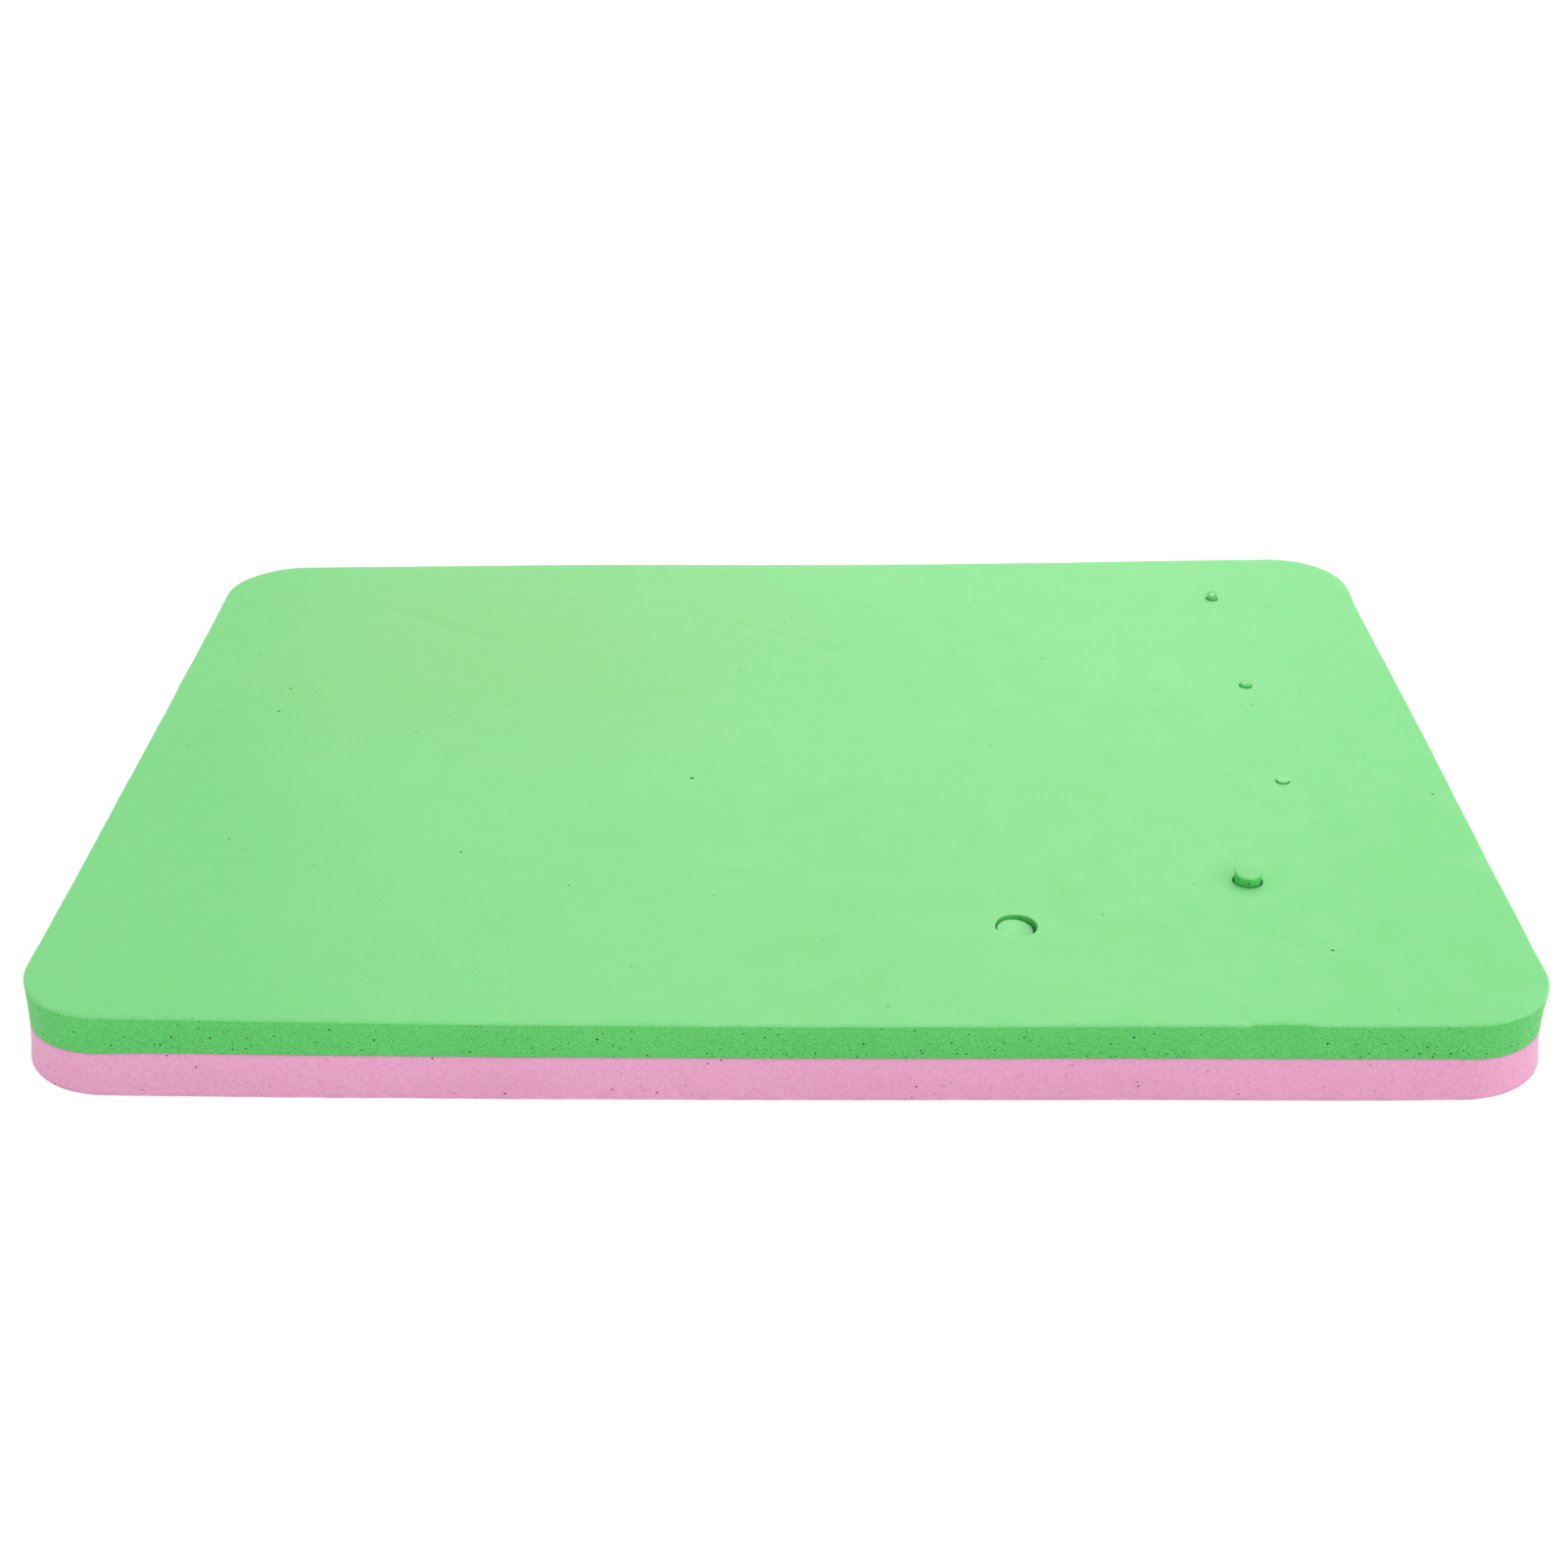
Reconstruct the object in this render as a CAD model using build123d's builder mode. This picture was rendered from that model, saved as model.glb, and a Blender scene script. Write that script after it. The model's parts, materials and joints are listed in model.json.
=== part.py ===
from build123d import *
import os

# Two-colour laminated foam pad with five round plugs, still seated where they were punched.
# Millimetres. Origin at the centre of the underside, +X along the long side, +Z up.

# ---- the pad ----
pad_length = 200.0        # along X
pad_width = 150.0         # along Y
sheet_thickness = 5.8     # each of the two foam sheets
corner_radius = 12.5      # vertical corners of the die-cut outline
rim_radius = 0.4          # soft outer rim that the cutting rule leaves on each skin

# ---- the punched plugs ----
punch_kerf = 0.06         # radial gap that the punch's wall leaves around a plug

large_bore = 5.8
medium_bore = 4.3
small_bore = 2.1

small_row_x = 75.2        # the three small plugs stand in a row along the right-hand side

# name: (bore diameter, x, y, how far the plug's top stands above the pad's top)
plugs = {
    "large": (large_bore, 31.6, -51.1, -0.8),
    "medium": (medium_bore, 65.0, -39.0, 1.9),
    "small_front": (small_bore, small_row_x, -9.3, 0.4),
    "small_middle": (small_bore, small_row_x, 24.2, 0.6),
    "small_back": (small_bore, small_row_x, 59.2, 0.8),
}

os.makedirs("parts", exist_ok=True)


def finish(piece, name):
    """Label a finished piece and write it under its own name."""
    piece.label = name
    export_step(piece, f"parts/{name}.step")
    print(f"{name}: {piece.volume:.1f} mm3")


def punched_sheet(base, rim_side):
    """One foam sheet standing on height base, with its outer rim softened on one face."""
    with BuildPart() as sheet:
        with BuildSketch(Plane.XY.offset(base)):
            RectangleRounded(pad_length, pad_width, corner_radius)
        extrude(amount=sheet_thickness)
        outer_face = sheet.faces().sort_by(Axis.Z)[rim_side]
        fillet(outer_face.edges(), rim_radius)
        with BuildSketch(Plane.XY.offset(base)):
            for bore, x, y, proud in plugs.values():
                with Locations((x, y)):
                    Circle(bore / 2)
        extrude(amount=sheet_thickness, mode=Mode.SUBTRACT)
    return sheet.part


def plug_disc(bore, x, y, bottom, height):
    """One layer of a punched plug, a round disc in its bore."""
    with BuildPart() as disc:
        with BuildSketch(Plane.XY.offset(bottom)):
            with Locations((x, y)):
                Circle(bore / 2 - punch_kerf)
        extrude(amount=height)
    return disc.part


# ---- the two laminated sheets ----
finish(punched_sheet(0.0, 0), "pink_base_sheet")
finish(punched_sheet(sheet_thickness, -1), "green_top_sheet")

# ---- the five plugs, each cut from both sheets at once ----
for name, (bore, x, y, proud) in plugs.items():
    # a plug that sits low is pressed short against the table; one that stands high is lifted
    lift = max(proud, 0.0)
    shortening = max(-proud, 0.0) / 2
    layer = sheet_thickness - shortening
    finish(plug_disc(bore, x, y, lift, layer), f"{name}_plug_pink_layer")
    finish(plug_disc(bore, x, y, lift + layer, layer), f"{name}_plug_green_layer")
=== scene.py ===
import json
import math
import random

import bpy
import numpy as np
from mathutils import Matrix, Vector, noise
from mathutils.geometry import delaunay_2d_cdt

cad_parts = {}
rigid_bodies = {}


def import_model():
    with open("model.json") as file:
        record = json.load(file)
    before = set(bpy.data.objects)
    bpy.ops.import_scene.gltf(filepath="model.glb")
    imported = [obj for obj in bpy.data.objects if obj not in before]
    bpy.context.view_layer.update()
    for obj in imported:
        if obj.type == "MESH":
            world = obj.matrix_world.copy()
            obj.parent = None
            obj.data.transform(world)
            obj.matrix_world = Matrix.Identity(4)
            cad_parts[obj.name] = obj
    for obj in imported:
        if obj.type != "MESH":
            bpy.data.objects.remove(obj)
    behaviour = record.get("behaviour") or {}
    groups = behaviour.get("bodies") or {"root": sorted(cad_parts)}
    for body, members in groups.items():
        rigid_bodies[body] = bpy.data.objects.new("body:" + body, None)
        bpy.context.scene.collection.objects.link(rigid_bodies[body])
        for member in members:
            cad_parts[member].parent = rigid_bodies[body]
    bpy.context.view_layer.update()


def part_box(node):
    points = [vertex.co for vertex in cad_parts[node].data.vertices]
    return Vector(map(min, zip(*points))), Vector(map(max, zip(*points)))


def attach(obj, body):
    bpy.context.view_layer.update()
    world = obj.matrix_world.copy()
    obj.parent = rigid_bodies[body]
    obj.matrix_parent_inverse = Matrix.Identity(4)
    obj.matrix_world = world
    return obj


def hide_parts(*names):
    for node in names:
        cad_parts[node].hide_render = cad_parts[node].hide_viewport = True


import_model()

# A two-colour pad of closed-cell foam with five round plugs still standing in their punched holes.
# Shapes are worked out in millimetres, in the frame's own axes, and become metres as each mesh is made.

MM = 0.001


def node_box(node):
    """Lowest and highest corner of a CAD node, in millimetres."""
    low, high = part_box(node)
    return np.array(low) / MM, np.array(high) / MM


# ---- sizes, from the frame ----
base_low, _ = node_box("pink_base_sheet")
top_low, top_high = node_box("green_top_sheet")
HALF_X = top_high[0]
HALF_Y = top_high[1]
UNDERSIDE = base_low[2]
BOND = top_low[2]
TOP = top_high[2]
CORNER = 12.5        # radius of the pad's vertical corners, as in the CAD outline
KERF = 0.06          # radial gap that the CAD model leaves between a plug and its bore

# ---- the meshes ----
CELL = 0.92          # spacing of the mesh on the skins
FINE_CELL = 0.35     # the same across a damaged stretch of the front rim
FINE_STRETCH = (57.0, 69.0)         # where along X that stretch lies
WALL_ROW = 0.52      # height of a row of faces on a cut wall
BAND = 3.0           # width of the band round the skin whose rings follow the outline
BAND_RINGS = (2.1, 1.4, 0.9, 0.6)   # how far inside the outline they lie
BORE_BLOCK = 2.2     # how far past a bore the block of cells reaches that makes way for it
# rings from that block's edge in to the bore: how much of the way each has gone to a circle round the
# bore, and that circle's gap from the bore
BORE_RINGS = ((0.3, 0.6), (0.65, 0.6), (1.0, 0.6), (1.0, 0.3))
BOND_STEP = 12.0     # spacing of the points on the bonded face
BOND_CLEAR = 2.0     # and how far they keep from a bore
PLUG_CELL = 0.36     # spacing of the points round a plug
PLUG_SIDES = 28      # and the fewest that it has
PLUG_RINGS = (0.86, 0.7, 0.5, 0.3, 0.15)   # rings on its end: how far in from its side, in radii

# ---- sizes of the foam's own detail ----
RIM = 0.38           # radius of the top skin's outer rim, crushed by the cutting rule
FOOT_RIM = 0.12      # radius of the underside's
BOND_RIM = 0.07      # the much smaller one where the two colours meet
BORE_RIM = 0.09      # radius of a punched hole's rim
BOND_BAND = 1.3      # height of the strip by the bond where more cells lie open
BELLY = 0.05         # how far a bore's wall bulges outwards at half its depth
RELIEF_DEPTH = 2.0   # the skin's waves die out this far below it
FOOT_RELIEF = 0.3    # how much of them the underside has, upwards only, because it lies on a table
DISH = 0.95          # how far a cut wall sinks in at half the pad's height
CORNER_DISH = 0.30   # the same round a corner, where the foam is stiffer
CORNER_STIFF = (-22.0, -2.0)        # where that starts and is full, measured outwards from each edge
FLARE = 0.12         # how far the underside's outline stands out past the top's
PLUG_WAIST = 0.12    # how far a plug's side draws in between its ends, as a share of its radius
WAIST_DEPTH = 2.2    # how far in from its end it reaches that
RAGGED_SLOW = 0.012  # how far a plug's outline waves in and out, three times round, in radii
RAGGED_QUICK = 0.008  # the same, seven times round
PLUG_END_LIGHT_SHADE = 0.9    # how much painted light lies on a plug's green end, and painted shade on its pink end
SIDE_PAINTED_LIGHT = 1.0   # how much painted light lies on a plug's green side and on the bore's green wall
BORE_RIM_LIGHT_SHADE = 0.5    # and how much painted light lies on the bore's rim in the top skin, and painted shade on it in the underside

SKIN, CUT = 0, 1     # material numbers on every piece: moulded skin, and foam laid open by a blade


class Seat:
    """How a plug sits in its bore: where it is, and the small ways in which it isn't true."""

    def __init__(self, name, slope, slack, shift, rim):
        self.name = name
        low, high = node_box(f"{name}_plug_green_layer")
        base, _ = node_box(f"{name}_plug_pink_layer")
        self.x, self.y = (low[:2] + high[:2]) / 2
        self.bore = (high[0] - low[0]) / 2 + KERF
        self.bottom = base[2]
        self.bond = low[2]
        self.top = high[2]
        self.slope = slope       # rise of its upper end per millimetre of X and of Y
        self.radius = self.bore - KERF - slack
        self.shift = shift       # how far it stands off the bore's axis
        self.rim = rim           # radius of the rounded rim of its ends


SEATS = [
    Seat("large", slope=(-0.07, 0.11), slack=0.34, shift=(-0.12, 0.06), rim=0.10),
    Seat("medium", slope=(0.03, 0.27), slack=0.06, shift=(-0.02, 0.06), rim=0.22),
    Seat("small_front", slope=(0.02, 0.10), slack=0.06, shift=(0.02, 0.03), rim=0.12),
    Seat("small_middle", slope=(0.14, 0.14), slack=0.08, shift=(0.06, 0.03), rim=0.16),
    Seat("small_back", slope=(0.05, 0.22), slack=0.08, shift=(0.04, 0.01), rim=0.24),
]

# open cells in the top skin that are large enough to see one by one: x, y and radius
SKIN_PITS = [
    (-14.2, -8.8, 0.34),
    (-46.9, -31.8, 0.20),
    (-81.2, 22.4, 0.20),
    (-81.2, 14.1, 0.23),
    (-94.0, 1.7, 0.16),
    (-80.6, -28.2, 0.15),
    (42.4, 34.3, 0.15),
    (73.6, -57.9, 0.22),
    (96.2, -13.5, 0.20),
    (75.4, 17.0, 0.16),
]


# ---- small helpers ----
def smooth(t):
    """0 to 1 with soft ends, for t from 0 to 1."""
    t = np.clip(t, 0.0, 1.0)
    return t * t * (3 - 2 * t)


def rise(value, start, full):
    """0 up to start and 1 from full on, with soft ends."""
    return smooth((value - start) / (full - start))


def hump(t):
    """1 at 0, falling softly to 0 at -1 and 1."""
    return smooth(1 - np.abs(t))


SEED_STEP = 17.3     # each seed takes its own level of the noise, this many features above the last


def waver(x, y, z, size, seed):
    """Smooth noise about 0 with features of that size, at each of a row of points."""
    places = np.column_stack([x / size, y / size, z / size + SEED_STEP * seed])
    return np.array([noise.noise(Vector(place)) for place in places])


# ---- how the real pad departs from the ideal one ----
def cut_inset(x, y, z):
    """How far the cut wall at x, y, z stands inside the top's outline: dished, and flared at its foot."""
    high = (z - UNDERSIDE) / (TOP - UNDERSIDE)
    corner = rise(np.abs(x) - HALF_X, *CORNER_STIFF) * rise(np.abs(y) - HALF_Y, *CORNER_STIFF)
    dish = DISH + (CORNER_DISH - DISH) * corner
    return 4 * dish * high * (1 - high) - FLARE * (1 - high)


# the skin's waves and old marks
LONG_WAVE, LONG_HEIGHT = 46.0, 0.06     # slow waves, and how high they rise
SHORT_WAVE, SHORT_HEIGHT = 11.0, 0.006
CREASES = [((-74.0, 57.5), (-44.0, 37.2)), ((-13.5, 51.0), (19.5, 30.2))]   # ends of two old folds
CREASE_REACH = 2.2       # how far to each side of the fold its furrow goes
CREASE_DEPTH = 0.10
CREASE_FADE = 0.2        # it sets in and dies out over this share of its length
STEP = 0.08              # how much higher its far side stands
STEP_WIDTH, STEP_REACH = 7.0, 9.0       # width of that step, and how far out the skin is level again
RING_DENT = (70.4, -8.6, 4.7)           # centre and radius of a ring mark
RING_WIDTH, RING_DEPTH = 1.3, 0.11
RING_FADE = (16.0, 6.0)  # it fades to the right and towards the front over these lengths along X and Y

# the outline and the thickness
FRONT_ZONE = (35.0, 75.0)       # what applies to the front sets in over this stretch, measured forwards
BACK_ZONE = (52.0, 74.0)        # the same for the back, measured backwards
BOW = 0.5                       # how far the middle of the front stands out
BOW_REACH = 62.0                # the front crosses its true line this far from the middle
RIGHT_BOW = 0.5                 # how far the front's right-hand end stands out again
RIGHT_BOW_ZONE = (40.0, 80.0)
RIGHT_OUT = 0.28                # how far the right-hand edge stands out all along
RIGHT_OUT_ZONE = (84.0, 100.0)
RIGHT_SPREAD = 0.20             # how much further the right-hand side moves outwards at the front
REAR_PINCH = (0.35, 0.25)       # how far the right and left sides move inwards at the back
BACK_SHIFT = 0.25               # how far the back stands out all along
BACK_SKEW = (1.1, 1.6)          # how much further at the right, and how far it falls back at the left
FOOT_SPREAD = 0.5               # how far the foot spreads to the left at the front left
FOOT_FORWARD = 0.8              # and forwards, as a share of that
BLADE_WANDER = ((9.0, 0.06), (2.6, 0.05))   # wavelength and size of the blade's slow and quick wander
WANDER_REACH = 4.0              # it dies out this far in from the edge
WANDER_RUN = 0.3                # the lower, the straighter its marks run down the wall
CORNER_LIFT = (0.35, 0.75)      # extra thickness at the front left and at the back right
LIFT_START = 0.35               # it sets in this far out, as a share of the pad's half size

# damage to the front rim
BITE = (58.6, 68.2)             # where a bite is gone from it
BITE_DEPTH = 0.55
BITE_ENDS = (1.6, 2.4)          # it deepens over these lengths at its left and right end
BITE_FOOT = 0.72                # its lower edge, as a share of the pad's height
BITE_REACH = 4.0                # how far in from the edge the skin gives way
FLAKE_X = 58.3                  # a torn flake at its left end
FLAKE_WIDTH = 0.9               # from its middle to each side
FLAKE_FOOT = 0.93               # its lower edge, as a share of the pad's height
FLAKE_REACH = 1.2               # how far in from the edge it is torn
FLAKE_OUT, FLAKE_UP = 0.3, 0.18


def crease(x, y, start, end):
    """A fold line: a fine furrow whose far side stands a little higher than its near side."""
    start, end = np.array(start), np.array(end)
    along = end - start
    length = np.linalg.norm(along)
    along = along / length
    across = np.array([-along[1], along[0]])
    s = ((x - start[0]) * along[0] + (y - start[1]) * along[1]) / length
    d = (x - start[0]) * across[0] + (y - start[1]) * across[1]
    fade = smooth(s / CREASE_FADE) * smooth((1 - s) / CREASE_FADE)
    furrow = -CREASE_DEPTH * hump(d / CREASE_REACH)
    step = STEP * (smooth(d / STEP_WIDTH + 0.5) - 0.5) * hump(d / STEP_REACH)
    return fade * (furrow + step)


def skin_relief(x, y):
    """Height of the top skin's waves and old marks, in millimetres."""
    level = 0 * x
    height = LONG_HEIGHT * waver(x, y, level, LONG_WAVE, 1) + SHORT_HEIGHT * waver(x, y, level, SHORT_WAVE, 2)
    for start, end in CREASES:
        height = height + crease(x, y, start, end)
    ring_x, ring_y, ring_r = RING_DENT
    fade_x, fade_y = RING_FADE
    reach = np.hypot(x - ring_x, y - ring_y)
    side = smooth(0.5 + (y - ring_y) / fade_y - (x - ring_x) / fade_x)
    return height - RING_DEPTH * hump((reach - ring_r) / RING_WIDTH) * side


def warp(points):
    """Carry ideal points to where the real pad has them: an uneven outline and not quite flat."""
    x, y, z = points.T
    high = (z - UNDERSIDE) / (TOP - UNDERSIDE)
    past_x = np.abs(x) - HALF_X
    past_y = np.abs(y) - HALF_Y
    past_front = -y - HALF_Y
    right = smooth(x / HALF_X)
    left = smooth(-x / HALF_X)
    front = rise(-y, *FRONT_ZONE)
    back = rise(y, *BACK_ZONE)
    rear = smooth(y / HALF_Y)
    # the front bows out, the back is cut out of square, and the foot spreads at the front left
    bow = BOW * (1 - (x / BOW_REACH) ** 2) + RIGHT_BOW * rise(x, *RIGHT_BOW_ZONE)
    foot = FOOT_SPREAD * (1 - high ** 2) * left * front
    skew_right, skew_left = BACK_SKEW
    pinch_right, pinch_left = REAR_PINCH
    new_x = (x + right * (RIGHT_SPREAD * front - pinch_right * rear) - pinch_left * left * rear - foot
             + RIGHT_OUT * rise(x, *RIGHT_OUT_ZONE))
    new_y = (y - front * bow + back * (BACK_SHIFT + skew_right * right - skew_left * left ** 2)
             - FOOT_FORWARD * foot)
    # the blade's small wander along the cut
    edge = rise(np.maximum(past_x, past_y), -WANDER_REACH, 0.0)
    (slow, slow_size), (quick, quick_size) = BLADE_WANDER
    wander = (slow_size * waver(x, y, WANDER_RUN * z, slow, 3)
              + quick_size * waver(x, y, WANDER_RUN * z, quick, 4))
    side = past_x > past_y
    new_x = new_x + edge * wander * np.sign(x) * side
    new_y = new_y + edge * wander * np.sign(y) * ~side
    # one bite out of the front rim, with a raised flake of skin at its left end
    bite = BITE_DEPTH * smooth((x - BITE[0]) / BITE_ENDS[0]) * smooth((BITE[1] - x) / BITE_ENDS[1])
    bite = bite * rise(high, BITE_FOOT, 1.0) * rise(past_front, -BITE_REACH, 0.0)
    flake = hump((x - FLAKE_X) / FLAKE_WIDTH) * rise(high, FLAKE_FOOT, 1.0)
    flake = flake * rise(past_front, -FLAKE_REACH, 0.0)
    new_y = new_y + bite - FLAKE_OUT * flake
    # thickness grows a little towards two corners
    lift = CORNER_LIFT[0] * left * front + CORNER_LIFT[1] * right * back
    new_z = z + high * lift * smooth(np.hypot(x / HALF_X, y / HALF_Y) - LIFT_START) + FLAKE_UP * flake
    return np.stack([new_x, new_y, new_z], 1)


# ---- building meshes ----
class Pores:
    """Where open cells break a surface: how many to a square millimetre, how large, and the draw."""

    CLUSTER = 11.0       # size of the areas where they crowd or thin out
    CROWDING = 0.9       # how far their number varies between such areas
    SPARSEST = 0.1       # the least that it can fall to, as a share of the usual number
    SMALLNESS = 2.5      # the higher, the fewer are large

    def __init__(self, density, smallest, largest, seed):
        self.density = density
        self.smallest = smallest
        self.largest = largest
        self.draw = random.Random(seed)

    def pick(self, quad):
        """A pit's radius for this quad of four points, or None where the foam is whole."""
        a, b, c, d = quad
        area = np.linalg.norm(np.cross(c - a, d - b)) / 2
        crowd = 1 + self.CROWDING * noise.noise(Vector(a / self.CLUSTER))
        if self.draw.random() > self.density * area * max(crowd, self.SPARSEST):
            return None
        return self.smallest + (self.largest - self.smallest) * self.draw.random() ** self.SMALLNESS


PIT_LARGEST = 0.43       # a pit's largest radius, as a share of its quad's sides
PIT_ROOM = 0.46          # about how far it may reach from the quad's middle, as the same share
PIT_STRETCH = (0.8, 1.1)     # how much longer one way than the other it may be
PIT_ROUGH = (0.82, 1.08)     # how far in or out a corner of it may lie
# its rings: the share of its radius, the depth in radii, and how much painted shade they take
PIT_RIM = (1.0, 0.0, 0.0)
PIT_THROAT = (0.84, 0.45, 0.75)
PIT_BED = (0.5, 1.25, 1.0)
PIT_HOLLOW = 0.2         # how much deeper the middle of its bed lies, in radii


class Shell:
    """A mesh being built from its skin at face_z down, or up, to its bonded face at bond_z.

    It holds points in millimetres, faces, each face's material, and two values for each point: how much
    painted shade it takes deep in a pit, and how much painted light (on green foam) and painted shade (on
    pink foam) it takes on rims, plugs and bore walls.
    """

    def __init__(self, face_z, bond_z):
        self.face_z = face_z
        self.bond_z = bond_z
        self.thick = abs(face_z - bond_z)
        self.away = 1 if face_z > bond_z else -1
        self.points = []
        self.pore = []
        self.crush = []
        self.faces = []
        self.slots = []

    def point(self, place, pore=0.0, crush=0.0):
        self.points.append(np.array(place, float))
        self.pore.append(pore)
        self.crush.append(crush)
        return len(self.points) - 1

    def loop(self, flat, depth, crush=0.0):
        """A closed loop of points at a depth below the skin."""
        heights = np.zeros(len(flat)) + self.face_z - self.away * depth
        return [self.point((x, y, z), crush=crush) for (x, y), z in zip(flat, heights)]

    def face(self, corners, slot):
        self.faces.append(tuple(corners))
        self.slots.append(slot)

    def bridge(self, first, second, slot, pores=None):
        """Quads from one closed loop to the next, with pits where the pores fall."""
        count = len(first)
        for k in range(count):
            n = (k + 1) % count
            quad = (first[k], second[k], second[n], first[n])
            radius = pores.pick([self.points[i] for i in quad]) if pores else None
            if radius:
                self.pit(quad, slot, radius, pores.draw)
            else:
                self.face(quad, slot)

    def fan(self, loop, centre, slot):
        for k in range(len(loop)):
            self.face((centre, loop[k], loop[(k + 1) % len(loop)]), slot)

    def pit(self, quad, slot, radius, draw):
        """Lay a quad open into a rounded pit with a broken rim, steep sides and a bed."""
        a, b, c, d = (self.points[i] for i in quad)
        outward = np.cross(b - a, c - b)
        outward = self.away * outward / np.linalg.norm(outward)
        long_u = np.linalg.norm(d - a)
        long_v = np.linalg.norm(b - a)
        radius = min(radius, PIT_LARGEST * long_u, PIT_LARGEST * long_v)
        reach_u = radius / long_u
        reach_v = radius / long_v
        middle_u = 0.5 + (PIT_ROOM - reach_u) * draw.uniform(-1, 1)
        middle_v = 0.5 + (PIT_ROOM - reach_v) * draw.uniform(-1, 1)
        stretch = draw.uniform(*PIT_STRETCH)
        # eight corners, two for each of the quad's own, from its first one round
        angles = [math.radians(225 - 45 * m) for m in range(8)]
        rough = [draw.uniform(*PIT_ROUGH) for _ in angles]

        def ring(share, depth, pore):
            made = []
            for angle, r in zip(angles, rough):
                u = middle_u + reach_u * share * r * stretch * math.cos(angle)
                v = middle_v + reach_v * share * r / stretch * math.sin(angle)
                place = (1 - u) * (1 - v) * a + (1 - u) * v * b + u * v * c + u * (1 - v) * d
                made.append(self.point(place - outward * (depth * radius), pore))
            return made

        # each ring takes the painted shade of its row, and the lowest point takes the most
        rim, throat, bed = (ring(*stage) for stage in (PIT_RIM, PIT_THROAT, PIT_BED))
        for k in range(4):
            after = (k + 1) % 4
            side = (rim[2 * after], rim[2 * k + 1], rim[2 * k])
            self.face((quad[k], quad[after]) + side, slot)
        for outer, inner in ((rim, throat), (throat, bed)):
            for m in range(8):
                n = (m + 1) % 8
                self.face((outer[m], outer[n], inner[n], inner[m]), CUT)
        lowest = self.point(sum(self.points[i] for i in bed) / 8 - outward * PIT_HOLLOW * radius, 1.0)
        for m in range(8):
            self.face((bed[m], bed[(m + 1) % 8], lowest), CUT)

    def mesh(self, name):
        """The finished mesh, in metres, with the faces of an upside-down shell turned outwards."""
        places = warp(np.array(self.points)) * MM
        faces = self.faces if self.away > 0 else [f[::-1] for f in self.faces]
        mesh = bpy.data.meshes.new(name)
        mesh.from_pydata([tuple(p) for p in places], [], faces)
        mesh.polygons.foreach_set("material_index", self.slots)
        mesh.polygons.foreach_set("use_smooth", [True] * len(faces))
        for value, values in (("pore", self.pore), ("crush", self.crush)):
            attribute = mesh.attributes.new(value, "FLOAT", "POINT")
            attribute.data.foreach_set("value", values)
        mesh.update()
        return mesh


def grid_lines(half, radius, fine=None):
    """Where a rounded rectangle's grid lines cross one axis, closer together over the fine stretch."""
    straight = half - radius
    corner = round(radius / CELL)
    middle = np.linspace(-straight, straight, round(2 * straight / CELL) + 1)
    if fine:
        start, end = (middle[np.argmin(np.abs(middle - place))] for place in fine)
        close = np.linspace(start, end, round((end - start) / FINE_CELL) + 1)
        middle = np.concatenate([middle[middle < start - 0.1], close, middle[middle > end + 0.1]])
    outer = straight + radius * np.arange(1, corner + 1) / corner
    return np.concatenate([-outer[::-1], middle, outer])


def rounded_grid(lines_x, lines_y, radius):
    """A plain grid with each corner block squeezed onto its arc."""
    x, y = np.meshgrid(lines_x, lines_y, indexing="ij")
    u = np.clip((np.abs(x) - lines_x[-1]) / radius + 1, 0, 1)
    v = np.clip((np.abs(y) - lines_y[-1]) / radius + 1, 0, 1)
    square_x = np.sign(x) * (np.abs(x) - radius * u * (1 - np.sqrt(1 - v * v / 2)))
    square_y = np.sign(y) * (np.abs(y) - radius * v * (1 - np.sqrt(1 - u * u / 2)))
    return square_x, square_y


def block_edge(i0, i1, j0, j1):
    """Grid places round a block's edge, anticlockwise from its lowest corner."""
    return ([(i, j0) for i in range(i0, i1)] + [(i1, j) for j in range(j0, j1)]
            + [(i, j1) for i in range(i1, i0, -1)] + [(i0, j) for j in range(j1, j0, -1)])


def rim_steps(radius, steps=4):
    """(inset, depth) pairs round a quarter circle, from the skin to the wall."""
    turns = [math.pi / 2 * k / steps for k in range(steps + 1)]
    return [(radius * (1 - math.sin(t)), radius * (1 - math.cos(t))) for t in turns]


def row_depths(start, end):
    """Depths of the rows down a cut wall, after the rim above and before the one below."""
    count = max(2, round((end - start) / WALL_ROW))
    return [start + (end - start) * k / count for k in range(1, count + 1)]


class SkinGrid:
    """The grid of points on a sheet's skin, inside the band that follows the outline."""

    def __init__(self, shell):
        radius = CORNER - BAND
        self.lines_x = grid_lines(HALF_X - BAND, radius, fine=FINE_STRETCH)
        self.lines_y = grid_lines(HALF_Y - BAND, radius)
        self.x, self.y = rounded_grid(self.lines_x, self.lines_y, radius)
        self.ids = np.array([[shell.point((x, y, shell.face_z)) for x, y in zip(*row)]
                             for row in zip(self.x, self.y)])

    def block(self, seat):
        """The block of cells that makes way for a bore: its first and last line along X, and along Y."""
        reach = seat.bore + BORE_BLOCK
        i0, i1 = (int(np.argmin(np.abs(self.lines_x - seat.x - side * reach))) for side in (-1, 1))
        j0, j1 = (int(np.argmin(np.abs(self.lines_y - seat.y - side * reach))) for side in (-1, 1))
        return i0, i1, j0, j1


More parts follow.
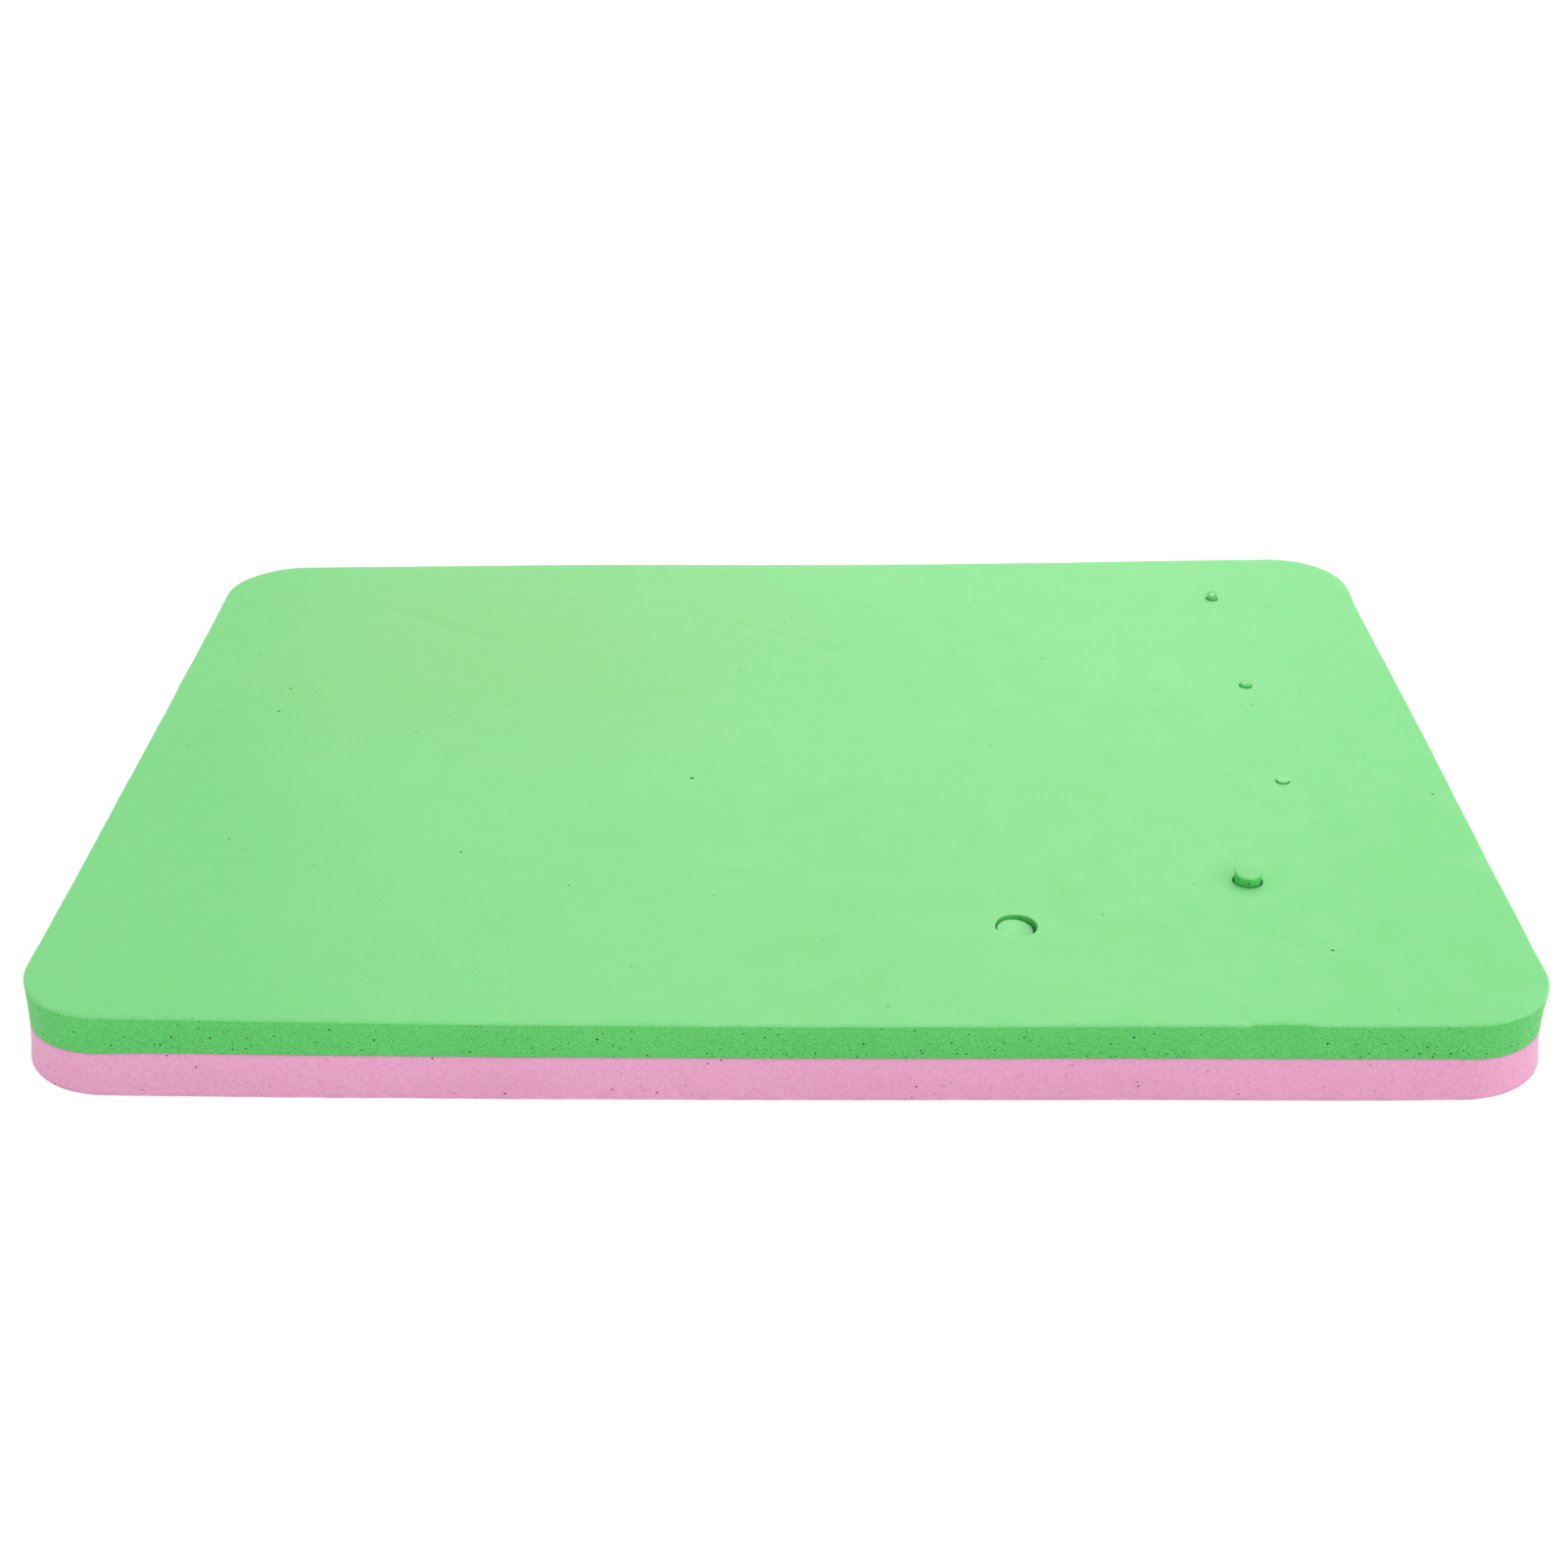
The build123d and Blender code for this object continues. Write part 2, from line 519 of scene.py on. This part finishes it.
def lay_skin(shell, grid, skin_pits, pores):
    """The skin's faces, some of them open cells, all but the blocks round the bores."""
    taken = set()
    for seat in SEATS:
        i0, i1, j0, j1 = grid.block(seat)
        taken.update((i, j) for i in range(i0, i1) for j in range(j0, j1))
    wanted = {}
    for x, y, size in skin_pits:
        cell = (int(np.searchsorted(grid.lines_x, x)) - 1, int(np.searchsorted(grid.lines_y, y)) - 1)
        wanted[cell] = size
    for i in range(len(grid.lines_x) - 1):
        for j in range(len(grid.lines_y) - 1):
            if (i, j) in taken:
                continue
            quad = (grid.ids[i, j], grid.ids[i + 1, j], grid.ids[i + 1, j + 1], grid.ids[i, j + 1])
            size = wanted.get((i, j)) or pores.pick([shell.points[k] for k in quad])
            if size:
                shell.pit(quad, SKIN, size, pores.draw)
            else:
                shell.face(quad, SKIN)


def cut_outline(shell, grid, wall_pores, bond_pores):
    """The band, the rim and the cut wall, as rings that follow the outline; gives back the last ring."""
    edge = block_edge(0, len(grid.lines_x) - 1, 0, len(grid.lines_y) - 1)
    start = np.array([(grid.x[p], grid.y[p]) for p in edge])
    limit = np.array([HALF_X - CORNER, HALF_Y - CORNER])
    normal = start - np.clip(start, -limit, limit)
    normal = normal / np.linalg.norm(normal, axis=1)[:, None]
    outer = start + normal * BAND

    def outline(inset, depth, crush=0.0):
        sunk = cut_inset(outer[:, 0], outer[:, 1], shell.face_z - shell.away * depth)
        return shell.loop(outer - normal * (inset + sunk)[:, None], depth, crush)

    previous = [grid.ids[p] for p in edge]
    for inset in BAND_RINGS:
        ring = outline(inset, 0.0)
        shell.bridge(previous, ring, SKIN)
        previous = ring
    rim = RIM if shell.away > 0 else FOOT_RIM
    for inset, depth in rim_steps(rim):
        # painted highlight along the middle of the top skin's rim, and painted shadow all along the
        # underside's rim where it meets the table
        light_shade_paint = 4 * inset * (rim - inset) / rim ** 2 if shell.away > 0 else 1.0
        ring = outline(inset, depth, crush=light_shade_paint)
        shell.bridge(previous, ring, SKIN)
        previous = ring
    for depth in row_depths(rim, shell.thick - BOND_RIM):
        ring = outline(0.0, depth)
        near_bond = depth > shell.thick - BOND_BAND
        shell.bridge(previous, ring, CUT, bond_pores if near_bond else wall_pores)
        previous = ring
    ring = outline(BOND_RIM, shell.thick)
    shell.bridge(previous, ring, CUT)
    return ring


def punch_bore(shell, grid, seat, pores):
    """From its block's square edge in to a bore's rim, and down its wall; gives back the last ring."""
    square = [grid.ids[p] for p in block_edge(*grid.block(seat))][::-1]
    corners = np.array([shell.points[k][:2] for k in square])
    turn = np.arctan2(corners[:, 1] - seat.y, corners[:, 0] - seat.x)
    way = np.column_stack([np.cos(turn), np.sin(turn)])
    middle = np.array([seat.x, seat.y])

    def circle(radius, depth, share=1.0, crush=0.0):
        return shell.loop((1 - share) * corners + share * (middle + way * radius), depth, crush)

    previous = square
    for share, gap in BORE_RINGS:
        ring = circle(seat.bore + gap, 0.0, share)
        shell.bridge(previous, ring, SKIN)
        previous = ring
    for inset, depth in rim_steps(BORE_RIM, 3):
        # painted light on the bore's rim in the top skin, painted shade on it in the underside
        ring = circle(seat.bore + inset, depth, crush=BORE_RIM_LIGHT_SHADE)
        shell.bridge(previous, ring, SKIN)
        previous = ring
    for depth in row_depths(BORE_RIM, shell.thick):
        belly = BELLY * math.sin(math.pi * depth / shell.thick)
        # the green bore wall takes painted light
        ring = circle(seat.bore + belly, depth, crush=SIDE_PAINTED_LIGHT if shell.away > 0 else 0.0)
        shell.bridge(previous, ring, CUT, pores)
        previous = ring
    return previous


def sheet_shell(face_z, bond_z, skin_pits, skin_pores, wall_pores, bond_pores):
    """One foam sheet: its outer skin on a grid, its cut walls and bores, and its bonded face."""
    shell = Shell(face_z, bond_z)
    grid = SkinGrid(shell)
    lay_skin(shell, grid, skin_pits, skin_pores)
    last_rings = [cut_outline(shell, grid, wall_pores, bond_pores)]
    last_rings += [punch_bore(shell, grid, seat, wall_pores) for seat in SEATS]
    close_bonded_face(shell, last_rings)
    relieve(shell)
    return shell


def close_bonded_face(shell, loops):
    """Triangles over the face that is bonded to the other sheet: inside the first loop, open at the rest."""
    ids = [k for loop in loops for k in loop]
    for x in np.arange(-HALF_X + BOND_STEP, HALF_X - BOND_STEP / 2, BOND_STEP):
        for y in np.arange(-HALF_Y + BOND_STEP, HALF_Y - BOND_STEP / 2, BOND_STEP):
            if all(math.hypot(x - seat.x, y - seat.y) > seat.bore + BOND_CLEAR for seat in SEATS):
                ids.append(shell.point((x, y, shell.bond_z)))
    edges = []
    first = 0
    for loop in loops:
        count = len(loop)
        edges += [(first + k, first + (k + 1) % count) for k in range(count)]
        first += count
    bores = [set(loop) for loop in loops[1:]]
    flat = [Vector(shell.points[k][:2]) for k in ids]
    _, _, triangles, origins, _, _ = delaunay_2d_cdt(flat, edges, [], 1, 1e-6)
    for triangle in triangles:
        corners = [ids[origins[k][0]] for k in triangle]
        if not any(bore.issuperset(corners) for bore in bores):
            shell.face(corners[::-1], CUT)


def relieve(shell):
    """Press the skin's waves and marks into the points near it; the underside lies all but flat."""
    places = np.array(shell.points)
    depth = np.abs(places[:, 2] - shell.face_z)
    near = depth < RELIEF_DEPTH
    relief = skin_relief(places[near, 0], places[near, 1]) * (1 - smooth(depth[near] / RELIEF_DEPTH))
    places[near, 2] += relief if shell.away > 0 else np.maximum(FOOT_RELIEF * relief, 0)
    shell.points = list(places)


def plug_shell(seat, face_z, bond_z, wall_pores):
    """One layer of a plug: its end skin, rim and punched side, and its bonded end."""
    shell = Shell(face_z, bond_z)
    count = max(PLUG_SIDES, 4 * round(2 * math.pi * seat.radius / 4 / PLUG_CELL))
    turn = 2 * math.pi * np.arange(count) / count
    way = np.column_stack([np.cos(turn), np.sin(turn)])
    middle = np.array([seat.x + seat.shift[0], seat.y + seat.shift[1]])

    def circle(inset, depth, crush=0.0):
        waist = PLUG_WAIST * seat.radius * math.sin(math.pi / 2 * min(depth / WAIST_DEPTH, 1.0))
        ragged = 1 + RAGGED_SLOW * np.sin(3 * turn + seat.x) + RAGGED_QUICK * np.sin(7 * turn + seat.y)
        flat = middle + way * ((seat.radius - waist) * ragged - inset)[:, None]
        slope = (flat - middle) @ np.array(seat.slope) * (1 - depth / shell.thick) if shell.away > 0 else 0.0
        return shell.loop(flat, depth - slope, crush)

    # the plug's end takes painted light on the green layer, painted shade on the pink
    previous = circle(PLUG_RINGS[0] * seat.radius, 0.0, PLUG_END_LIGHT_SHADE)
    shell.fan(previous, shell.point((*middle, face_z), crush=PLUG_END_LIGHT_SHADE), SKIN)
    for share in PLUG_RINGS[1:]:
        ring = circle(share * seat.radius, 0.0, PLUG_END_LIGHT_SHADE)
        shell.bridge(previous, ring, SKIN)
        previous = ring
    for inset, depth in rim_steps(seat.rim):
        ring = circle(inset, depth, PLUG_END_LIGHT_SHADE)
        shell.bridge(previous, ring, SKIN)
        previous = ring
    for depth in row_depths(seat.rim, shell.thick - BOND_RIM):
        # the green side takes painted light
        ring = circle(0.0, depth, SIDE_PAINTED_LIGHT if shell.away > 0 else 0.0)
        shell.bridge(previous, ring, CUT, wall_pores)
        previous = ring
    ring = circle(BOND_RIM, shell.thick)
    shell.bridge(previous, ring, CUT)
    shell.fan(ring[::-1], shell.point((*middle, bond_z)), CUT)
    return shell


# ---- materials ----
FADED_PLACE = (-0.050, 0.045, 0.012)    # the middle of the faded area, in metres, as in the frame
FADED_REACH = (0.035, 0.095)            # faded fully within the first, and not at all past the second
FADED_EDGE, FADED_RAGS = 0.05, 22.0     # how far noise carries its edge, and that noise's size in millimetres
END_SHRINK = (1.0, 0.45, 1.0)           # distances along Y count for less in the painted shade of the pad's ends
END_SHADE_MIDDLE = (0.0, 0.027, 0.012)        # the middle that they are measured from, after that shrinking
END_SHADE_REACH = (0.066, 0.100)              # the painted shade starts at the first and is full at the second
CLOUD, CLOUD_RANGE = 34.0, (0.35, 0.65)  # soft clouds: their size in millimetres, and which noise they show
GRIT, GRIT_RANGE = 0.32, (0.34, 0.66)    # the same for the fine grit
PATCH, PATCH_RANGE = 3.0, (0.3, 0.7)     # and for the patches in which the painted light and shade of rims and plugs shows
PATCH_SHARE = (0.15, 0.6)                # how much of its colour shows, at least and at most
PIT_SHADE_RANGE = (0.15, 0.75)                # how far into a pit the painted shade starts, and where it is full
LARGE_PIN_SPACING = 6.4
PIN_RADIUS, LARGE_PIN_RADIUS = 0.10, 0.17
SHINE_PATCH = 6.0                        # size of the patches that are a little more or less shiny
SPECULAR = 0.32
SHEEN, SHEEN_ROUGHNESS = 0.12, 0.55
SCATTER, SCATTER_REACH = 0.35, 1.3       # share of light that enters the cells, and how far it goes
SCATTER_COLOURS = (0.5, 1.0, 0.6)        # and how far each colour goes, as a share of that
# bumps: their strength, and their depth in millimetres
CELL_BUMP = (0.35, 0.05)
COARSE_BUMP = (0.30, 0.08)
PIN_BUMP = (0.6, 0.12)


class Nodes:
    """A material's node tree, with short ways to add and join nodes."""

    def __init__(self, name):
        self.material = bpy.data.materials.new(name)
        self.material.use_nodes = True
        self.tree = self.material.node_tree
        self.shader = self.tree.nodes["Principled BSDF"]
        self.place = self.add("ShaderNodeTexCoord").outputs["Object"]

    def add(self, kind, **settings):
        node = self.tree.nodes.new(kind)
        for name, value in settings.items():
            setattr(node, name, value)
        return node

    def put(self, socket, value):
        """Set a socket to a value, or join an output to it."""
        if isinstance(value, bpy.types.NodeSocket):
            self.tree.links.new(value, socket)
        else:
            socket.default_value = value

    def noise(self, size, detail=2.0, rough=0.5):
        """Cloudy noise from 0 to 1 with features of that size in millimetres."""
        node = self.add("ShaderNodeTexNoise")
        self.put(node.inputs["Vector"], self.place)
        node.inputs["Scale"].default_value = 1 / (size * MM)
        node.inputs["Detail"].default_value = detail
        node.inputs["Roughness"].default_value = rough
        return node.outputs["Fac"]

    def cells(self, size, feature="F1"):
        """Foam cells of that size in millimetres."""
        node = self.add("ShaderNodeTexVoronoi", feature=feature)
        self.put(node.inputs["Vector"], self.place)
        node.inputs["Scale"].default_value = 1 / (size * MM)
        return node

    def ramp(self, value, low, high, out_low=0.0, out_high=1.0):
        """Map low..high to out_low..out_high, held at the ends."""
        node = self.add("ShaderNodeMapRange", interpolation_type="SMOOTHSTEP")
        for name, v in (("Value", value), ("From Min", low), ("From Max", high),
                        ("To Min", out_low), ("To Max", out_high)):
            self.put(node.inputs[name], v)
        return node.outputs["Result"]

    def sums(self, operation, first, second):
        """One step of arithmetic on two values."""
        node = self.add("ShaderNodeMath", operation=operation)
        self.put(node.inputs[0], first)
        self.put(node.inputs[1], second)
        return node.outputs[0]

    def blend(self, share, first, second, kind="MIX"):
        """Two colours in one; the node's colours are its sockets 6 and 7, and 2 on the way out."""
        node = self.add("ShaderNodeMix", data_type="RGBA", blend_type=kind)
        self.put(node.inputs[0], share)
        self.put(node.inputs[6], first)
        self.put(node.inputs[7], second)
        return node.outputs[2]

    def pinholes(self, spacing, radius, share):
        """1 inside a scatter of round pinholes, one in so many cells of that spacing."""
        node = self.cells(spacing)
        inside = self.ramp(node.outputs["Distance"], radius / spacing, 0.55 * radius / spacing)
        picker = self.add("ShaderNodeSeparateColor")
        self.put(picker.inputs[0], node.outputs["Color"])
        chosen = self.sums("LESS_THAN", picker.outputs[0], share)
        return self.sums("MULTIPLY", inside, chosen)

    def bump(self, height, strength, depth, onto=None):
        node = self.add("ShaderNodeBump")
        node.inputs["Strength"].default_value = strength
        node.inputs["Distance"].default_value = depth * MM
        self.put(node.inputs["Height"], height)
        if onto:
            self.put(node.inputs["Normal"], onto)
        return node.outputs["Normal"]


def foam(name, light, dark, pit_shade_colour, light_shade_paint, faded, grit, mottle, pinholes, roughness, cell, end_shade=None):
    """Closed-cell foam: close tones in soft clouds, fine grit, painted light and shade on rims and plugs,
    painted shade in pinholes and pits and towards the pad's ends.
    """
    n = Nodes(name)
    clouds = n.ramp(n.noise(CLOUD, 3.0), *CLOUD_RANGE)
    colour = n.blend(n.sums("MULTIPLY", clouds, mottle), light, dark)
    # one area, with an uneven edge, has been out in the light for longer
    away = n.add("ShaderNodeVectorMath", operation="DISTANCE")
    n.put(away.inputs[0], n.place)
    n.put(away.inputs[1], FADED_PLACE)
    ragged = n.sums("MULTIPLY", n.noise(FADED_RAGS, 4.0, 0.6), FADED_EDGE)
    away = n.sums("ADD", away.outputs["Value"], ragged)
    colour = n.blend(n.ramp(away, *FADED_REACH, 1.0, 0.0), colour, faded)
    colour = n.blend(n.ramp(n.noise(GRIT, 3.0, 0.62), *GRIT_RANGE), colour, grit, "ADD")
    if end_shade:
        # painted shade: the two ends, and most of all at the front, are darker and show less white sheen than
        # the middle
        flat = n.add("ShaderNodeVectorMath", operation="MULTIPLY")
        n.put(flat.inputs[0], n.place)
        n.put(flat.inputs[1], END_SHRINK)
        reach = n.add("ShaderNodeVectorMath", operation="DISTANCE")
        n.put(reach.inputs[0], flat.outputs["Vector"])
        n.put(reach.inputs[1], END_SHADE_MIDDLE)
        colour = n.blend(n.ramp(reach.outputs["Value"], *END_SHADE_REACH), colour, end_shade, "MULTIPLY")
    # painted shade in the pinholes: the pit colour, in the share that the last value of pinholes gives
    spacing, share, depth = pinholes
    pins = n.sums("MAXIMUM", n.pinholes(spacing, PIN_RADIUS, share),
                  n.pinholes(LARGE_PIN_SPACING, LARGE_PIN_RADIUS, 0.5 * share))
    colour = n.blend(n.sums("MULTIPLY", pins, depth), colour, pit_shade_colour)
    # painted light on the green rims, plug ends, plug sides and bore walls, and painted shade on the pink
    # rims and plug ends, laid on in patches
    crush = n.add("ShaderNodeAttribute", attribute_name="crush")
    patches = n.ramp(n.noise(PATCH), *PATCH_RANGE, *PATCH_SHARE)
    patchy = n.sums("MULTIPLY", crush.outputs["Fac"], patches)
    colour = n.blend(patchy, colour, light_shade_paint)
    # painted shade deep in the pits, from the attribute that the mesh carries
    pore = n.add("ShaderNodeAttribute", attribute_name="pore")
    colour = n.blend(n.ramp(pore.outputs["Fac"], *PIT_SHADE_RANGE), colour, pit_shade_colour)
    n.put(n.shader.inputs["Base Color"], colour)

    rough = n.ramp(n.noise(SHINE_PATCH, 2.0), 0.3, 0.7, roughness - 0.05, roughness + 0.06)
    n.put(n.shader.inputs["Roughness"], rough)
    n.shader.inputs["Specular IOR Level"].default_value = SPECULAR
    n.shader.inputs["Sheen Weight"].default_value = SHEEN
    n.shader.inputs["Sheen Roughness"].default_value = SHEEN_ROUGHNESS
    # light that enters the cells comes out again a little way off
    n.shader.inputs["Subsurface Weight"].default_value = SCATTER
    n.shader.inputs["Subsurface Radius"].default_value = SCATTER_COLOURS
    n.shader.inputs["Subsurface Scale"].default_value = SCATTER_REACH * MM

    skin = n.cells(cell, "SMOOTH_F1").outputs["Distance"]
    fine = n.bump(skin, *CELL_BUMP)
    coarse = n.bump(n.noise(0.7, 3.0, 0.6), *COARSE_BUMP, fine)
    holes = n.bump(n.sums("SUBTRACT", 1.0, pins), *PIN_BUMP, coarse)
    n.put(n.shader.inputs["Normal"], holes)
    return n.material


def make_materials():
    """Skin and cut-face foam in both colours."""
    # pinholes: their spacing, the share of cells that hold one, and how much painted shade they take
    skin = {"mottle": 0.7, "pinholes": (2.6, 0.16, 0.35), "roughness": 0.60, "cell": 0.30}
    cut = {"mottle": 0.8, "roughness": 0.74, "cell": 0.22}
    # pit colours: painted shade in pits and pinholes; then painted light for green rims and plug ends, and
    # painted shade for pink rims and plug ends
    green_pit_shade, green_painted_light = (0.004, 0.060, 0.012, 1), (0.30, 0.77, 0.33, 1)
    # painted light for the green plug sides and bore walls
    green_side_painted_light = (0.095, 0.86, 0.20, 1)
    pink_pit_shade, pink_painted_shade = (0.220, 0.025, 0.095, 1), (0.50, 0.23, 0.36, 1)
    # the green skin takes painted shade towards the pad's ends
    green_skin = foam("green_skin", (0.205, 0.664, 0.228, 1), (0.192, 0.650, 0.214, 1),
                      green_pit_shade, green_painted_light, faded=(0.221, 0.626, 0.213, 1),
                      grit=(0.012, 0.030, 0.014, 1), end_shade=(0.89, 0.965, 0.92, 1), **skin)
    # the cut green is darker and deeper than the skin's: partly the open cells' own colour, partly painted
    # shade on the cut walls
    green_cut = foam("green_cut", (0.082, 0.512, 0.103, 1), (0.068, 0.474, 0.087, 1),
                     green_pit_shade, green_side_painted_light, faded=(0.082, 0.500, 0.102, 1),
                     grit=(0.042, 0.102, 0.047, 1), pinholes=(1.5, 0.45, 0.75), **cut)
    pink_skin = foam("pink_skin", (0.815, 0.395, 0.590, 1), (0.795, 0.375, 0.570, 1),
                     pink_pit_shade, pink_painted_shade, faded=(0.805, 0.400, 0.580, 1),
                     grit=(0.035, 0.022, 0.029, 1), **skin)
    pink_cut = foam("pink_cut", (0.770, 0.347, 0.547, 1), (0.738, 0.322, 0.516, 1),
                    pink_pit_shade, pink_painted_shade, faded=(0.760, 0.350, 0.538, 1),
                    grit=(0.085, 0.055, 0.070, 1), pinholes=(2.2, 0.30, 0.55), **cut)
    return {"green": (green_skin, green_cut), "pink": (pink_skin, pink_cut)}


# ---- pieces ----
def make_piece(name, shell, colour, materials, body, node):
    """Put a finished shell in the scene, on its CAD body and in its CAD node's place."""
    piece = bpy.data.objects.new(name, shell.mesh(name))
    bpy.context.scene.collection.objects.link(piece)
    for material in materials[colour]:
        piece.data.materials.append(material)
    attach(piece, body)
    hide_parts(node)


def make_pad(materials):
    """The two bonded sheets."""
    skin_pores = Pores(0.0016, 0.07, 0.13, seed=11)
    wall_pores = Pores(0.27, 0.05, 0.18, seed=12)
    bond_pores = Pores(0.50, 0.06, 0.16, seed=13)
    shell = sheet_shell(TOP, BOND, SKIN_PITS, skin_pores, wall_pores, bond_pores)
    make_piece("green_sheet_foam", shell, "green", materials, "pad", "green_top_sheet")
    skin_pores = Pores(0.0016, 0.07, 0.13, seed=21)
    wall_pores = Pores(0.06, 0.05, 0.15, seed=22)
    shell = sheet_shell(UNDERSIDE, BOND, [], skin_pores, wall_pores, wall_pores)
    make_piece("pink_sheet_foam", shell, "pink", materials, "pad", "pink_base_sheet")


def make_plugs(materials):
    """Both layers of each plug, on the plug's own body."""
    for number, seat in enumerate(SEATS):
        body = f"{seat.name}_plug"
        pores = Pores(0.25, 0.07, 0.15, seed=31 + number)
        shell = plug_shell(seat, seat.top, seat.bond, pores)
        make_piece(f"{body}_green_foam", shell, "green", materials, body, f"{body}_green_layer")
        shell = plug_shell(seat, seat.bottom, seat.bond, pores)
        make_piece(f"{body}_pink_foam", shell, "pink", materials, body, f"{body}_pink_layer")


# ---- stage ----
CAMERA_PLACE = (0.0027, -0.3242, 0.1787)
CAMERA_YAW = math.radians(-0.54)       # turned this far from +Y towards +X
CAMERA_PITCH = math.radians(28.04)     # looking down
CAMERA_ROLL = math.radians(-0.14)
CAMERA_LENS = 53.97                    # millimetres
CAMERA_SENSOR = 36.0                   # its width, in millimetres


def make_camera():
    """A view from a little above the pad, square to its long side."""
    cam = bpy.data.cameras.new("camera")
    cam.lens = CAMERA_LENS
    cam.sensor_width = CAMERA_SENSOR
    cam.clip_start = 0.01
    cam.clip_end = 10.0
    camera = bpy.data.objects.new("camera", cam)
    forward = Vector((math.sin(CAMERA_YAW) * math.cos(CAMERA_PITCH),
                      math.cos(CAMERA_YAW) * math.cos(CAMERA_PITCH), -math.sin(CAMERA_PITCH)))
    right = Vector((math.cos(CAMERA_YAW), -math.sin(CAMERA_YAW), 0.0))
    up = right.cross(forward)
    tilted_right = math.cos(CAMERA_ROLL) * right + math.sin(CAMERA_ROLL) * up
    tilted_up = math.cos(CAMERA_ROLL) * up - math.sin(CAMERA_ROLL) * right
    turn = Matrix((tilted_right, tilted_up, -forward)).transposed()
    camera.matrix_world = Matrix.Translation(CAMERA_PLACE) @ turn.to_4x4()
    bpy.context.scene.collection.objects.link(camera)
    bpy.context.scene.camera = camera


def make_lamp(name, place, size, power):
    """A soft square lamp that points at the middle of the pad."""
    data = bpy.data.lights.new(name, "AREA")
    data.shape = "SQUARE"
    data.size = size
    data.energy = power
    lamp = bpy.data.objects.new(name, data)
    lamp.location = place
    lamp.rotation_euler = (-Vector(place)).to_track_quat("-Z", "Y").to_euler()
    bpy.context.scene.collection.objects.link(lamp)


SKY_STRENGTH = 0.64
FLOOR_REACH = 4.0                      # metres each way
FLOOR_DROP = 0.00002                   # just clear of the pad's underside
FLOOR_GREY = 0.35
FLOOR_GLOW = 0.78                      # keeps the sweep white without burning the pad's colours
FLOOR_ROUGHNESS, FLOOR_SPECULAR = 0.9, 0.1

# name, place and size in metres, and power in watts
LAMPS = [
    ("back_softbox", (0.21, 0.52, 0.62), 0.7, 4.0),
    ("right_softbox", (0.85, 0.00, 0.45), 0.6, 1.3),
    ("front_softbox", (0.40, -0.90, 0.60), 0.8, 2.2),
]


def make_floor():
    """A white sweep that glows a little, so that it stays white under soft light."""
    mesh = bpy.data.meshes.new("floor")
    corners = [(-1, -1), (1, -1), (1, 1), (-1, 1)]
    mesh.from_pydata([(FLOOR_REACH * x, FLOOR_REACH * y, 0) for x, y in corners], [], [(0, 1, 2, 3)])
    floor = bpy.data.objects.new("floor", mesh)
    floor.location.z = -FLOOR_DROP
    bpy.context.scene.collection.objects.link(floor)
    white = bpy.data.materials.new("white_sweep")
    white.use_nodes = True
    shader = white.node_tree.nodes["Principled BSDF"]
    shader.inputs["Base Color"].default_value = (FLOOR_GREY, FLOOR_GREY, FLOOR_GREY, 1)
    shader.inputs["Roughness"].default_value = FLOOR_ROUGHNESS
    shader.inputs["Specular IOR Level"].default_value = FLOOR_SPECULAR
    shader.inputs["Emission Color"].default_value = (1, 1, 1, 1)
    shader.inputs["Emission Strength"].default_value = FLOOR_GLOW
    mesh.materials.append(white)


def make_light():
    """A bright even sky and three large soft lamps."""
    world = bpy.data.worlds.new("studio")
    bpy.context.scene.world = world
    world.use_nodes = True
    sky = world.node_tree.nodes["Background"]
    sky.inputs["Color"].default_value = (1, 1, 1, 1)
    sky.inputs["Strength"].default_value = SKY_STRENGTH
    for name, place, size, power in LAMPS:
        make_lamp(name, place, size, power)
    bpy.context.scene.view_settings.view_transform = "Standard"
    bpy.context.scene.view_settings.look = "None"


materials = make_materials()
make_pad(materials)
make_plugs(materials)
make_camera()
make_floor()
make_light()
